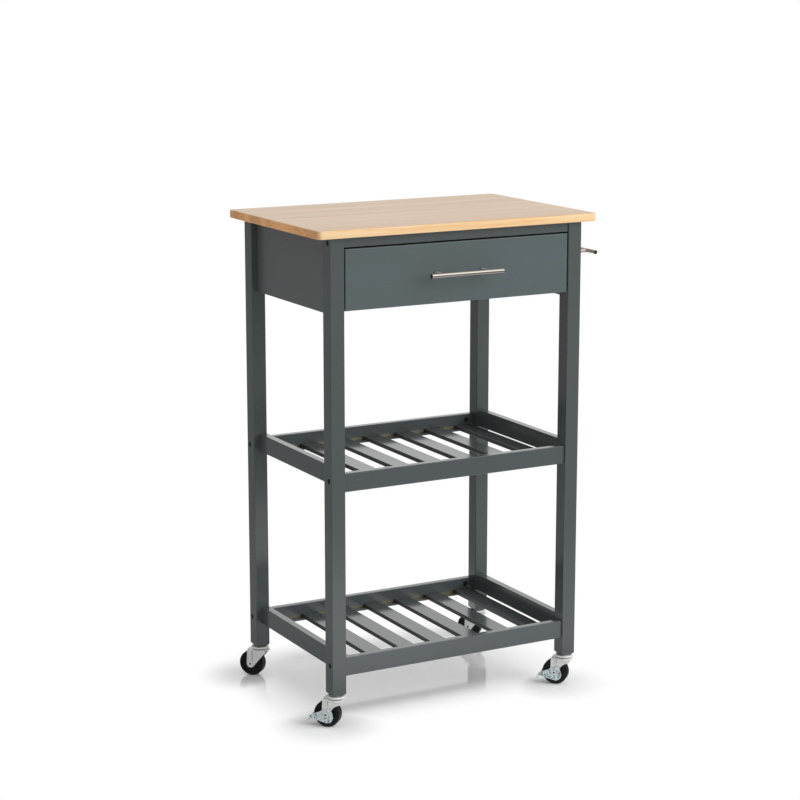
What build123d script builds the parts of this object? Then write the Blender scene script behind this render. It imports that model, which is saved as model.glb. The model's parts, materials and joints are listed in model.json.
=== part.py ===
from build123d import *
import math
import os

# Kitchen island cart: a wooden worktop on four painted legs, with one drawer, two slatted
# shelves, a towel rail on the right and four swivel casters, the two front ones with brakes.
# Millimetres, +Z up, the drawer faces -Y, and the model is built about the middle of the
# worktop, then moved so that the origin is at the middle of the whole object's base.

# Worktop
cart_height = 920.0
top_length = 580.0
top_depth = 380.0
top_thick = 15.0
top_corner_r = 10.0
top_edge_r = 2.0
overhang_side = 28.0
overhang_front = 10.0

# Legs
leg_width = 28.0
leg_depth = 30.0
leg_edge_r = 1.5
leg_foot_chamfer = 5.0

# Panels and rails
panel_thick = 15.0
panel_height = 140.0
back_panel_thick = 12.0
rail_thick = 14.0
rail_height = 34.5
rail_recess = 4.0
board_edge_r = 1.2
top_rail_height = 18.0
top_rail_recess = 3.0

# Shelves
mid_rail_top = 479.0
low_rail_top = 133.0
side_rail_rise = 10.5
slat_count = 7
slat_width = 34.5
slat_thick = 8.0
slat_end_gap = 8.55
slat_drop = 21.5
slat_edge_r = 1.0
groove_depth = 6.0
groove_fit = 0.15

# Frame fasteners
bolt_r = 3.0
bolt_head_r = 5.0
bolt_head_height = 5.0
bolt_sink = 5.0
bolt_socket_r = 2.5
bolt_socket_sides = 6
bolt_socket_depth = 2.5
bolt_drop = 12.5
bolt_reach = 26.0
nut_r = 5.0
nut_length = 11.0
nut_inset = 18.0
dowel_r = 3.0
dowel_length = 26.0
dowel_pitch = 18.0
panel_dowel_pitch = 45.0
pin_fit = 0.05

# Screws
screw_r = 1.75
screw_head_r = 3.4
screw_head_height = 2.0
screw_bite = 11.0
machine_screw_r = 2.0
machine_head_r = 3.8
machine_head_height = 2.4
machine_bite = 9.0

# Worktop brackets
bracket_leg = 14.0
bracket_width = 16.0
bracket_thick = 1.5
bracket_pitch = 180.0
bracket_hole_in = 8.5

# Drawer
drawer_travel = 240.0
front_height = 110.4
front_thick = 15.0
front_recess = 1.0
front_side_gap = 2.2
front_top_gap = 2.6
front_edge_r = 1.5
drawer_side_thick = 12.0
drawer_side_height = 85.0
drawer_side_lift = 9.0
drawer_side_gap = 4.0
drawer_back_thick = 12.0
drawer_back_gap = 14.0
drawer_bottom_thick = 4.0
drawer_bottom_lip = 6.0
drawer_bottom_bite = 5.0
drawer_fit = 0.1
drawer_dowel_depth = 8.0
drawer_dowel_pitch = 54.0

# Drawer runners and stops
runner_width = 9.0
runner_height = 14.0
runner_top_fit = 0.3
runner_side_fit = 0.5
runner_front_in = 16.0
runner_end_fit = 0.3
runner_screw_pitch = 110.0
stop_thick = 6.0
stop_width = 12.0
stop_below = 12.0
stop_above = 25.0
stop_slack = 1.0
stop_screw_bite = 8.0

# Drawer handle
handle_length = 150.0
handle_r = 4.5
handle_reach = 31.0
handle_post_r = 3.5
handle_post_pitch = 96.0
handle_end_chamfer = 0.6

# Towel rail
towel_length = 300.0
towel_r = 4.0
towel_end_chamfer = 0.6
towel_reach = 65.5
towel_post_r = 3.5
towel_post_pitch = 240.0
towel_base_r = 9.0
towel_base_thick = 3.0
towel_below_top = 80.0

# Casters
wheel_r = 25.0
wheel_width = 18.0
wheel_shoulder_r = 3.0
wheel_rim = 6.0
wheel_dish = 1.5
hub_r = 8.5
hub_gap = 0.3
axle_r = 3.0
axle_head_r = 4.0
axle_head_height = 1.8
caster_trail = 16.0
caster_heading = 132.0
running_fit = 0.06
fork_plate = 2.0
fork_crown_gap = 2.5
fork_crown_thick = 2.5
fork_bend_r = 3.0
fork_side_gap = 1.2
fork_eye_r = 8.0
fork_front = 15.0
fork_back = 22.5
fork_skirt = 5.0
crown_r = 16.5
race_r = 12.0
race_height = 2.2
swivel_gap = 0.3
stem_flange_r = 16.5
stem_flange_thick = 3.5
stem_r = 4.0
stem_length = 28.0
king_head_r = 6.5
king_head_height = 2.2
insert_r = 6.0
insert_length = 32.0

# Caster brakes
brake_plate = 1.5
brake_gap = 0.3
brake_swing = 10.0
brake_pivot_ahead = 7.0
brake_pivot_up = 10.0
brake_pivot_r = 2.0
brake_pivot_head_r = 3.4
brake_pivot_head_height = 1.0
brake_eye_r = 4.2
brake_lobe_r = 11.5
brake_lobe_ahead = 3.0
brake_lobe_drop = 4.0
brake_tail_r = 3.0
brake_shoe_gap = 2.2
brake_shoe_drop = 3.0
pedal_length = 13.0
pedal_angle = 55.0
brake_slot_room = 0.4

# Planes that several pieces share
leg_out_x = top_length / 2 - overhang_side
leg_in_x = leg_out_x - leg_width
leg_out_y = top_depth / 2 - overhang_front
leg_in_y = leg_out_y - leg_depth
leg_mid_x = leg_out_x - leg_width / 2
leg_mid_y = leg_out_y - leg_depth / 2
top_under = cart_height - top_thick
panel_out_x = leg_in_x + panel_thick
panel_mid_x = leg_in_x + panel_thick / 2
panel_bottom = top_under - panel_height
rail_out_y = leg_out_y - rail_recess
rail_in_y = rail_out_y - rail_thick
rail_mid_y = rail_out_y - rail_thick / 2
top_rail_mid_y = leg_out_y - top_rail_recess - rail_thick / 2
top_rail_in_y = leg_out_y - top_rail_recess - rail_thick
back_panel_in_y = rail_out_y - back_panel_thick
back_panel_mid_y = rail_out_y - back_panel_thick / 2
slat_end_x = leg_in_x - slat_end_gap - slat_width / 2
slat_pitch = 2 * slat_end_x / (slat_count - 1)

# Drawer planes
front_y = -(leg_out_y - front_recess)
front_back_y = front_y + front_thick
front_top = top_under - top_rail_height - front_top_gap
front_bottom = front_top - front_height
front_mid_z = front_top - front_height / 2
side_out_x = leg_in_x - drawer_side_gap
side_in_x = side_out_x - drawer_side_thick
side_bottom = front_bottom + drawer_side_lift
side_top = side_bottom + drawer_side_height
side_mid_z = side_bottom + drawer_side_height / 2
drawer_rear_y = back_panel_in_y - drawer_back_gap
drawer_floor = side_bottom + drawer_bottom_lip + drawer_bottom_thick
runner_in_x = leg_in_x - runner_width
runner_front_y = front_back_y + runner_front_in
stop_front_y = -top_rail_in_y + drawer_travel + stop_slack

# Caster levels, from the floor up
crown_under = 2 * wheel_r + fork_crown_gap
crown_top = crown_under + fork_crown_thick
race_top = crown_top + race_height
flange_under = race_top + swivel_gap
leg_foot = flange_under + stem_flange_thick
fork_in_y = wheel_width / 2 + fork_side_gap
fork_out_y = fork_in_y + fork_plate
brake_in_y = fork_out_y + brake_gap
brake_out_y = brake_in_y + brake_plate
pivot_x = caster_trail - brake_pivot_ahead
pivot_z = wheel_r + brake_pivot_up

SIDES = (-1, 1)
CENTRED = (Align.CENTER, Align.CENTER, Align.MIN)


def block(x0, x1, y0, y1, z0, z1):
    """Box between two corners, given in any order along each axis."""
    middle = Pos((x0 + x1) / 2, (y0 + y1) / 2, (z0 + z1) / 2)
    return middle * Box(abs(x1 - x0), abs(y1 - y0), abs(z1 - z0))


def pin(start, direction, length, radius):
    """Cylinder that starts at a point and runs along a direction."""
    return Plane(origin=start, z_dir=direction) * Cylinder(radius, length, align=CENTRED)


def eased(board, axis, radius):
    """Board with its four edges along one axis rounded."""
    return fillet(board.edges().filter_by(axis), radius)


def pan_screw(start, direction, radius, length, head_r, head_height):
    """Screw whose pan head lies outside the starting face."""
    outside = Vector(*start) - Vector(*direction) * head_height
    head = pin(tuple(outside), direction, head_height, head_r)
    return head + pin(start, direction, length, radius)


def flush_screw(start, direction, radius, length, head_r, head_height):
    """Screw whose head is sunk level with the starting face."""
    return pin(start, direction, head_height, head_r) + pin(start, direction, length, radius)


# Places of the fasteners, used for the holes and for what goes into them

def frame_bolts_at():
    """Outer end of each frame bolt on the legs, with its direction into the rail."""
    levels = [(mid_rail_top - bolt_drop, rail_mid_y), (low_rail_top - bolt_drop, rail_mid_y)]
    places = []
    for sx in SIDES:
        for z, y in levels:
            for sy in SIDES:
                places.append(((sx * leg_out_x, sy * y, z), (-sx, 0, 0)))
        places.append(((sx * leg_out_x, -top_rail_mid_y, top_under - top_rail_height / 2), (-sx, 0, 0)))
    return places


def side_dowels_at():
    """Centre of each dowel between the legs and the side rails or side panels."""
    levels = []
    for rail_top in (mid_rail_top, low_rail_top):
        middle = rail_top + side_rail_rise - rail_height / 2
        levels += [middle - dowel_pitch / 2, middle + dowel_pitch / 2]
    panel_middle = panel_bottom + panel_height / 2
    levels += [panel_middle + step * panel_dowel_pitch for step in (-1, 0, 1)]
    return [(sx * panel_mid_x, sy * leg_in_y, z) for sx in SIDES for sy in SIDES for z in levels]


def back_dowels_at():
    """Centre of each dowel between the back legs and the back panel."""
    middle = panel_bottom + panel_height / 2
    levels = [middle + step * panel_dowel_pitch for step in (-1, 0, 1)]
    return [(sx * leg_in_x, back_panel_mid_y, z) for sx in SIDES for z in levels]


def bracket_screws_at():
    """Starting point and direction of each screw through the worktop brackets."""
    places = []
    for sx in SIDES:
        for sy in SIDES:
            y = sy * bracket_pitch / 2
            panel_face = sx * (leg_in_x - bracket_thick)
            places.append(((panel_face, y, top_under - bracket_hole_in), (sx, 0, 0)))
            bracket_x = sx * (leg_in_x - bracket_hole_in)
            places.append(((bracket_x, y, top_under - bracket_thick), (0, 0, 1)))
    return places


def runner_screws_at():
    """Starting point and direction of each screw through the drawer runners."""
    return [((sx * runner_in_x, step * runner_screw_pitch, side_mid_z), (sx, 0, 0))
            for sx in SIDES for step in (-1, 0, 1)]


def towel_posts_at():
    """Foot of each towel rail post on the right panel."""
    z = cart_height - towel_below_top
    return [(panel_out_x, sy * towel_post_pitch / 2, z) for sy in SIDES]


def handle_posts_at():
    """Foot of each handle post on the drawer front."""
    return [(sx * handle_post_pitch / 2, front_y, front_mid_z) for sx in SIDES]


def drawer_dowels_at():
    """Starting point and direction of each dowel of the drawer box."""
    places = []
    for sx in SIDES:
        for sz in SIDES:
            z = side_mid_z + sz * drawer_dowel_pitch / 2
            start = (sx * (side_in_x + drawer_side_thick / 2), front_back_y - drawer_dowel_depth, z)
            places.append((start, (0, 1, 0)))
            rear = (sx * (side_in_x + drawer_dowel_depth), drawer_rear_y - drawer_back_thick / 2, z)
            places.append((rear, (-sx, 0, 0)))
    return places


def stops_at():
    """Middle of each drawer stop on the inner face of its drawer side."""
    return [(sx * side_in_x, stop_front_y + stop_width / 2, side_top) for sx in SIDES]


# Cutting tools for those fasteners

def cut_pins(board, places, radius, length):
    for start, direction in places:
        board -= pin(start, direction, length, radius + pin_fit)
    return board


def cut_dowels(board, centres, direction):
    for centre in centres:
        start = tuple(Vector(*centre) - Vector(*direction) * (dowel_length / 2))
        board -= pin(start, direction, dowel_length, dowel_r + pin_fit)
    return board


def cut_flush_screws(board, places, radius, length, head_r, head_height):
    board = cut_pins(board, places, radius, length)
    return cut_pins(board, places, head_r, head_height + pin_fit)


# Frame

def make_worktop():
    top = block(-top_length / 2, top_length / 2, -top_depth / 2, top_depth / 2, top_under, cart_height)
    top = eased(top, Axis.Z, top_corner_r)
    rims = top.faces().sort_by(Axis.Z)
    top = fillet(rims[0].edges() + rims[-1].edges(), top_edge_r)
    upward = [(start, way) for start, way in bracket_screws_at() if way[2]]
    return cut_pins(top, upward, screw_r, bracket_thick + screw_bite)


def make_leg(sx, sy):
    leg = block(sx * leg_in_x, sx * leg_out_x, sy * leg_in_y, sy * leg_out_y, leg_foot, top_under)
    leg = chamfer(leg.faces().sort_by(Axis.Z)[0].edges(), leg_foot_chamfer)
    upright = [edge for edge in leg.edges() if edge.bounding_box().size.Z > leg_foot_chamfer / 2]
    leg = fillet(upright, leg_edge_r)
    leg -= pin((sx * leg_mid_x, sy * leg_mid_y, leg_foot), (0, 0, 1), insert_length, insert_r + pin_fit)
    bolts = [place for place in frame_bolts_at() if place[0][0] * sx > 0 and place[0][1] * sy > 0]
    leg = cut_pins(leg, bolts, bolt_r, leg_width)
    leg = cut_pins(leg, bolts, bolt_head_r, bolt_sink + bolt_head_height)
    joints = [spot for spot in side_dowels_at() if spot[0] * sx > 0 and spot[1] * sy > 0]
    leg = cut_dowels(leg, joints, (0, 1, 0))
    if sy > 0:
        leg = cut_dowels(leg, [spot for spot in back_dowels_at() if spot[0] * sx > 0], (1, 0, 0))
    return leg


def make_side_panel(sx):
    panel = block(sx * leg_in_x, sx * panel_out_x, -leg_in_y, leg_in_y, panel_bottom, top_under)
    panel = eased(panel, Axis.Y, board_edge_r)
    panel = cut_dowels(panel, [spot for spot in side_dowels_at() if spot[0] * sx > 0], (0, 1, 0))
    inward = [(start, way) for start, way in bracket_screws_at() if way[0] == sx]
    panel = cut_pins(panel, inward, screw_r, bracket_thick + screw_bite)
    runners = [(start, way) for start, way in runner_screws_at() if way[0] == sx]
    panel = cut_pins(panel, runners, screw_r, runner_width + screw_bite)
    if sx > 0:
        screws = [((leg_in_x, y, z), (1, 0, 0)) for x, y, z in towel_posts_at()]
        panel = cut_flush_screws(panel, screws, machine_screw_r, panel_thick,
                                 machine_head_r, machine_head_height)
    return panel


def make_back_panel():
    panel = block(-leg_in_x, leg_in_x, back_panel_in_y, rail_out_y, panel_bottom, top_under)
    panel = eased(panel, Axis.X, board_edge_r)
    return cut_dowels(panel, back_dowels_at(), (1, 0, 0))


def cut_bolt_ends(rail, places, inner_face, inward):
    """Rail with the holes for its bolts and, from its inner face, for their barrel nuts."""
    for (x, y, z), way in places:
        rail -= pin((x, y, z), way, leg_width + bolt_reach, bolt_r + pin_fit)
        nut_x = x + way[0] * (leg_width + nut_inset)
        depth = abs(inner_face - y) + nut_length / 2
        rail -= pin((nut_x, inner_face, z), (0, -inward, 0), depth, nut_r + pin_fit)
    return rail


def make_top_rail():
    rail = block(-leg_in_x, leg_in_x, -top_rail_in_y - rail_thick, -top_rail_in_y,
                 top_under - top_rail_height, top_under)
    rail = eased(rail, Axis.X, board_edge_r)
    bolts = [place for place in frame_bolts_at() if place[0][2] > top_under - top_rail_height]
    return cut_bolt_ends(rail, bolts, -top_rail_in_y, 1)


def make_cross_rail(rail_top, sy):
    """Front or back rail of a shelf, grooved on its inner face for the slat ends."""
    rail = block(-leg_in_x, leg_in_x, sy * rail_in_y, sy * rail_out_y, rail_top - rail_height, rail_top)
    rail = eased(rail, Axis.X, board_edge_r)
    slat_top = rail_top - slat_drop
    rail -= block(-leg_in_x, leg_in_x, sy * rail_in_y, sy * (rail_in_y + groove_depth),
                  slat_top - slat_thick - groove_fit, slat_top + groove_fit)
    level = rail_top - bolt_drop
    bolts = [place for place in frame_bolts_at() if place[0][2] == level and place[0][1] * sy > 0]
    return cut_bolt_ends(rail, bolts, sy * rail_in_y, -sy)


def make_side_rail(rail_top, sx):
    side_top_z = rail_top + side_rail_rise
    rail = block(sx * leg_in_x, sx * panel_out_x, -leg_in_y, leg_in_y, side_top_z - rail_height, side_top_z)
    rail = eased(rail, Axis.Y, board_edge_r)
    joints = [spot for spot in side_dowels_at()
              if spot[0] * sx > 0 and side_top_z - rail_height < spot[2] < side_top_z]
    return cut_dowels(rail, joints, (0, 1, 0))


def make_slats(rail_top):
    reach = rail_in_y + groove_depth - groove_fit
    slat_top = rail_top - slat_drop
    slats = []
    for index in range(slat_count):
        x = (index - (slat_count - 1) / 2) * slat_pitch
        slat = block(x - slat_width / 2, x + slat_width / 2, -reach, reach, slat_top - slat_thick, slat_top)
        slats.append(eased(slat, Axis.Y, slat_edge_r))
    return slats


# Frame fasteners

def make_frame_bolts():
    bolts = []
    for start, way in frame_bolts_at():
        seat = Vector(*start) + Vector(*way) * (bolt_sink + bolt_head_height)
        outer = tuple(Vector(*start) + Vector(*way) * bolt_sink)
        shank = leg_width - bolt_sink - bolt_head_height + bolt_reach
        bolt = pin(outer, way, bolt_head_height, bolt_head_r) + pin(tuple(seat), way, shank, bolt_r)
        socket = Plane(origin=outer, z_dir=way) * RegularPolygon(bolt_socket_r, bolt_socket_sides)
        bolts.append(bolt - extrude(socket, bolt_socket_depth))
    return bolts


def make_barrel_nuts():
    nuts = []
    for (x, y, z), way in frame_bolts_at():
        nut_x = x + way[0] * (leg_width + nut_inset)
        nut = pin((nut_x, y - nut_length / 2, z), (0, 1, 0), nut_length, nut_r)
        nuts.append(nut - pin((x, y, z), way, leg_width + bolt_reach, bolt_r + pin_fit))
    return nuts


def make_frame_dowels():
    dowels = []
    for x, y, z in side_dowels_at():
        dowels.append(pin((x, y - dowel_length / 2, z), (0, 1, 0), dowel_length, dowel_r))
    for x, y, z in back_dowels_at():
        dowels.append(pin((x - dowel_length / 2, y, z), (1, 0, 0), dowel_length, dowel_r))
    return dowels


def make_brackets():
    brackets = []
    for sx in SIDES:
        for sy in SIDES:
            y0 = sy * bracket_pitch / 2 - bracket_width / 2
            y1 = y0 + bracket_width
            outer = sx * leg_in_x
            inner = sx * (leg_in_x - bracket_leg)
            face = sx * (leg_in_x - bracket_thick)
            upright = block(outer, face, y0, y1, top_under - bracket_leg, top_under)
            flat = block(outer, inner, y0, y1, top_under - bracket_thick, top_under)
            near = [place for place in bracket_screws_at()
                    if place[0][0] * sx > 0 and place[0][1] * sy > 0]
            brackets.append(cut_pins(upright + flat, near, screw_r, bracket_thick))
    return brackets


def make_panel_screws():
    screws = []
    for start, way in bracket_screws_at():
        length = bracket_thick + screw_bite
        screws.append(pan_screw(start, way, screw_r, length, screw_head_r, screw_head_height))
    for start, way in runner_screws_at():
        length = runner_width + screw_bite
        screws.append(flush_screw(start, way, screw_r, length, screw_head_r, screw_head_height))
    return screws


# Towel rail

def make_towel_bar():
    axis_x = panel_out_x + towel_reach
    bar = pin((axis_x, -towel_length / 2, cart_height - towel_below_top), (0, 1, 0), towel_length, towel_r)
    return chamfer(bar.edges().filter_by(GeomType.CIRCLE), towel_end_chamfer)


def make_towel_posts():
    bar = pin((panel_out_x + towel_reach, -towel_length / 2, cart_height - towel_below_top), (0, 1, 0),
              towel_length, towel_r + pin_fit)
    posts = []
    for foot in towel_posts_at():
        post = pin(foot, (1, 0, 0), towel_base_thick, towel_base_r)
        post += pin(foot, (1, 0, 0), towel_reach, towel_post_r)
        post -= bar
        posts.append(post - pin(foot, (1, 0, 0), machine_bite, machine_screw_r + pin_fit))
    return posts


def make_towel_screws():
    return [flush_screw((leg_in_x, y, z), (1, 0, 0), machine_screw_r, panel_thick + machine_bite,
                        machine_head_r, machine_head_height) for x, y, z in towel_posts_at()]


# Drawer

def make_drawer_front():
    half = leg_in_x - front_side_gap
    front = block(-half, half, front_y, front_back_y, front_bottom, front_top)
    front = fillet(front.faces().sort_by(Axis.Y)[0].edges(), front_edge_r)
    screws = [(foot, (0, 1, 0)) for foot in handle_posts_at()]
    front = cut_pins(front, screws, machine_screw_r, front_thick)
    dowels = [(start, way) for start, way in drawer_dowels_at() if way[1]]
    front = cut_pins(front, dowels, dowel_r, dowel_length)
    return front - drawer_bottom_space()


def drawer_bottom_space():
    """Room that the grooves leave for the drawer bottom."""
    half = side_in_x + drawer_bottom_bite + drawer_fit
    return block(-half, half, front_back_y - drawer_bottom_bite - drawer_fit, drawer_rear_y,
                 drawer_floor - drawer_bottom_thick - drawer_fit, drawer_floor + drawer_fit)


def make_drawer_side(sx):
    side = block(sx * side_in_x, sx * side_out_x, front_back_y, drawer_rear_y, side_bottom, side_top)
    side = eased(side, Axis.Y, board_edge_r)
    groove_half = runner_height / 2
    side -= block(sx * (runner_in_x - runner_side_fit), sx * side_out_x,
                  runner_front_y - runner_end_fit, drawer_rear_y,
                  side_mid_z - groove_half - runner_top_fit, side_mid_z + groove_half + runner_top_fit)
    side -= drawer_bottom_space()
    dowels = [(start, way) for start, way in drawer_dowels_at() if start[0] * sx > 0]
    side = cut_pins(side, dowels, dowel_r, dowel_length)
    stops = [((x, y, z - stop_below / 2), (sx, 0, 0)) for x, y, z in stops_at() if x * sx > 0]
    return cut_pins(side, stops, screw_r, stop_screw_bite)


def make_drawer_back():
    back = block(-side_in_x, side_in_x, drawer_rear_y - drawer_back_thick, drawer_rear_y,
                 drawer_floor + drawer_fit, side_top)
    dowels = [(start, way) for start, way in drawer_dowels_at() if way[0]]
    return cut_pins(back, dowels, dowel_r, dowel_length)


def make_drawer_bottom():
    half = side_in_x + drawer_bottom_bite
    return block(-half, half, front_back_y - drawer_bottom_bite, drawer_rear_y,
                 drawer_floor - drawer_bottom_thick, drawer_floor)


def make_drawer_dowels():
    return [pin(start, way, dowel_length, dowel_r) for start, way in drawer_dowels_at()]


def make_runner(sx):
    runner = block(sx * runner_in_x, sx * leg_in_x, runner_front_y, drawer_rear_y,
                   side_mid_z - runner_height / 2, side_mid_z + runner_height / 2)
    screws = [(start, way) for start, way in runner_screws_at() if way[0] == sx]
    return cut_flush_screws(runner, screws, screw_r, runner_width, screw_head_r, screw_head_height)


def make_drawer_stops():
    stops = []
    for x, y, z in stops_at():
        inner = x - math.copysign(stop_thick, x)
        stop = block(inner, x, y - stop_width / 2, y + stop_width / 2, z - stop_below, z + stop_above)
        way = (math.copysign(1, x), 0, 0)
        stops.append(cut_pins(stop, [((inner, y, z - stop_below / 2), way)], screw_r, stop_thick))
    return stops


def make_drawer_screws():
    """Handle screws from inside the drawer, and one screw through each stop."""
    screws = []
    for x, y, z in handle_posts_at():
        length = front_thick + machine_bite
        screws.append(pan_screw((x, front_back_y, z), (0, -1, 0), machine_screw_r, length,
                                machine_head_r, machine_head_height))
    for x, y, z in stops_at():
        way = (math.copysign(1, x), 0, 0)
        inner = x - math.copysign(stop_thick, x)
        length = stop_thick + stop_screw_bite
        screws.append(pan_screw((inner, y, z - stop_below / 2), way, screw_r, length,
                                screw_head_r, screw_head_height))
    return screws


def make_handle_bar():
    bar = pin((-handle_length / 2, front_y - handle_reach, front_mid_z), (1, 0, 0), handle_length, handle_r)
    return chamfer(bar.edges().filter_by(GeomType.CIRCLE), handle_end_chamfer)


def make_handle_posts():
    bar = pin((-handle_length / 2, front_y - handle_reach, front_mid_z), (1, 0, 0),
              handle_length, handle_r + pin_fit)
    posts = []
    for foot in handle_posts_at():
        post = pin(foot, (0, -1, 0), handle_reach, handle_post_r) - bar
        posts.append(post - pin(foot, (0, -1, 0), machine_bite, machine_screw_r + pin_fit))
    return posts


# Casters, made at the origin with the wheel trailing along +X, then turned and moved to a leg

def side_plate(outline, y0, y1):
    """Outline drawn in X and Z, made solid between two values of Y."""
    plate = extrude(Plane.XZ * outline, abs(y1 - y0))
    return Pos(0, max(y0, y1), 0) * plate


def make_fork(braked):
    eye = Pos(caster_trail, wheel_r) * Circle(fork_eye_r)
    skirt = Rectangle(fork_back + fork_front, fork_skirt)
    head = Pos((fork_back - fork_front) / 2, crown_top - fork_skirt / 2) * skirt
    outline = make_hull((eye + head).edges())
    reach = caster_trail + fork_eye_r + fork_back
    channel = block(-fork_front, reach, -fork_out_y, fork_out_y, 0, crown_top)
    tops = channel.faces().sort_by(Axis.Z)[-1].edges().filter_by(Axis.X)
    channel = fillet(tops, fork_bend_r)
    channel -= block(-fork_front, reach, -fork_in_y, fork_in_y, 0, crown_under)
    fork = channel & side_plate(outline, -fork_out_y, fork_out_y)
    fork += pin((0, 0, crown_under), (0, 0, 1), fork_crown_thick, crown_r)
    fork += pin((0, 0, crown_top), (0, 0, 1), race_height, race_r)
    fork -= pin((0, 0, crown_under), (0, 0, 1), race_top - crown_under, stem_r + running_fit)
    fork -= pin((caster_trail, -fork_out_y, wheel_r), (0, 1, 0), 2 * fork_out_y, axle_r + pin_fit)
    if braked:
        fork -= pin((pivot_x, -fork_out_y, pivot_z), (0, 1, 0), 2 * fork_out_y, brake_pivot_r + pin_fit)
    return fork


def make_stem():
    king_head_top = crown_under - swivel_gap
    stem = pin((0, 0, leg_foot), (0, 0, 1), stem_length, stem_r)
    stem += pin((0, 0, flange_under), (0, 0, 1), stem_flange_thick, stem_flange_r)
    stem += pin((0, 0, king_head_top), (0, 0, 1), flange_under - king_head_top, stem_r)
    stem += pin((0, 0, king_head_top), (0, 0, -1), king_head_height, king_head_r)
    return stem


def make_insert():
    sleeve = pin((0, 0, leg_foot), (0, 0, 1), insert_length, insert_r)
    return sleeve - pin((0, 0, leg_foot), (0, 0, 1), insert_length, stem_r + pin_fit)


def make_wheel():
    half = wheel_width / 2
    hub_half = fork_in_y - hub_gap
    dish = half - wheel_dish
    bore = axle_r + running_fit
    rim_r = wheel_r - wheel_rim
    hub = [(bore, hub_half), (hub_r, hub_half), (hub_r, dish)]
    rim = [(rim_r, dish), (rim_r, half), (wheel_r, half)]
    quarter = hub + rim
    outline = quarter + [(x, -y) for x, y in reversed(quarter)]
    profile = Polygon(*outline, align=None)
    shoulders = profile.vertices().group_by(Axis.X)[-1]
    profile = fillet(shoulders, wheel_shoulder_r)
    return Pos(caster_trail, 0, wheel_r) * revolve(profile, Axis.Y)


def make_axle():
    end = fork_out_y + axle_head_height
    axle = pin((caster_trail, -end, wheel_r), (0, 1, 0), 2 * end, axle_r)
    for sy in SIDES:
        head = pin((caster_trail, sy * fork_out_y, wheel_r), (0, sy, 0), axle_head_height, axle_head_r)
        axle += head
    return axle


def make_brake_lever():
    swing = math.radians(brake_swing)
    slot_r = axle_head_r + math.hypot(brake_pivot_ahead, brake_pivot_up) * swing + brake_slot_room
    shoe_r = wheel_r + brake_shoe_gap
    shoe_x = caster_trail + math.sqrt(shoe_r ** 2 - brake_shoe_drop ** 2)
    shoe_z = wheel_r - brake_shoe_drop
    tail_x = shoe_x + brake_tail_r * math.cos(math.radians(pedal_angle))
    tail_z = shoe_z - brake_tail_r * math.sin(math.radians(pedal_angle))
    eye = Pos(pivot_x, pivot_z) * Circle(brake_eye_r)
    lobe = Pos(caster_trail - brake_lobe_ahead, wheel_r - brake_lobe_drop) * Circle(brake_lobe_r)
    tail = Pos(tail_x, tail_z) * Circle(brake_tail_r)
    outline = make_hull((eye + lobe + tail).edges())
    outline -= Pos(caster_trail, wheel_r) * Circle(slot_r)
    outline -= Pos(pivot_x, pivot_z) * Circle(brake_pivot_r + running_fit)
    across = Pos(pedal_length / 2, brake_plate / 2) * Rectangle(pedal_length, brake_plate)
    pedal = Pos(shoe_x, shoe_z) * Rot(0, 0, -pedal_angle) * across
    lever = side_plate(pedal, -brake_out_y, brake_out_y)
    for sy in SIDES:
        lever += side_plate(outline, sy * brake_in_y, sy * brake_out_y)
    return lever


def make_brake_rivets():
    rivets = []
    for sy in SIDES:
        shank = brake_out_y + brake_gap - fork_in_y
        rivet = pin((pivot_x, sy * fork_in_y, pivot_z), (0, sy, 0), shank, brake_pivot_r)
        rivet += pin((pivot_x, sy * (brake_out_y + brake_gap), pivot_z), (0, sy, 0),
                     brake_pivot_head_height, brake_pivot_head_r)
        rivets.append(rivet)
    return rivets


CORNERS = {
    "front_left": (-1, -1),
    "front_right": (1, -1),
    "back_left": (-1, 1),
    "back_right": (1, 1),
}


def at_corner(sx, sy):
    return Pos(sx * leg_mid_x, sy * leg_mid_y, 0) * Rot(0, 0, caster_heading)


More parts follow.
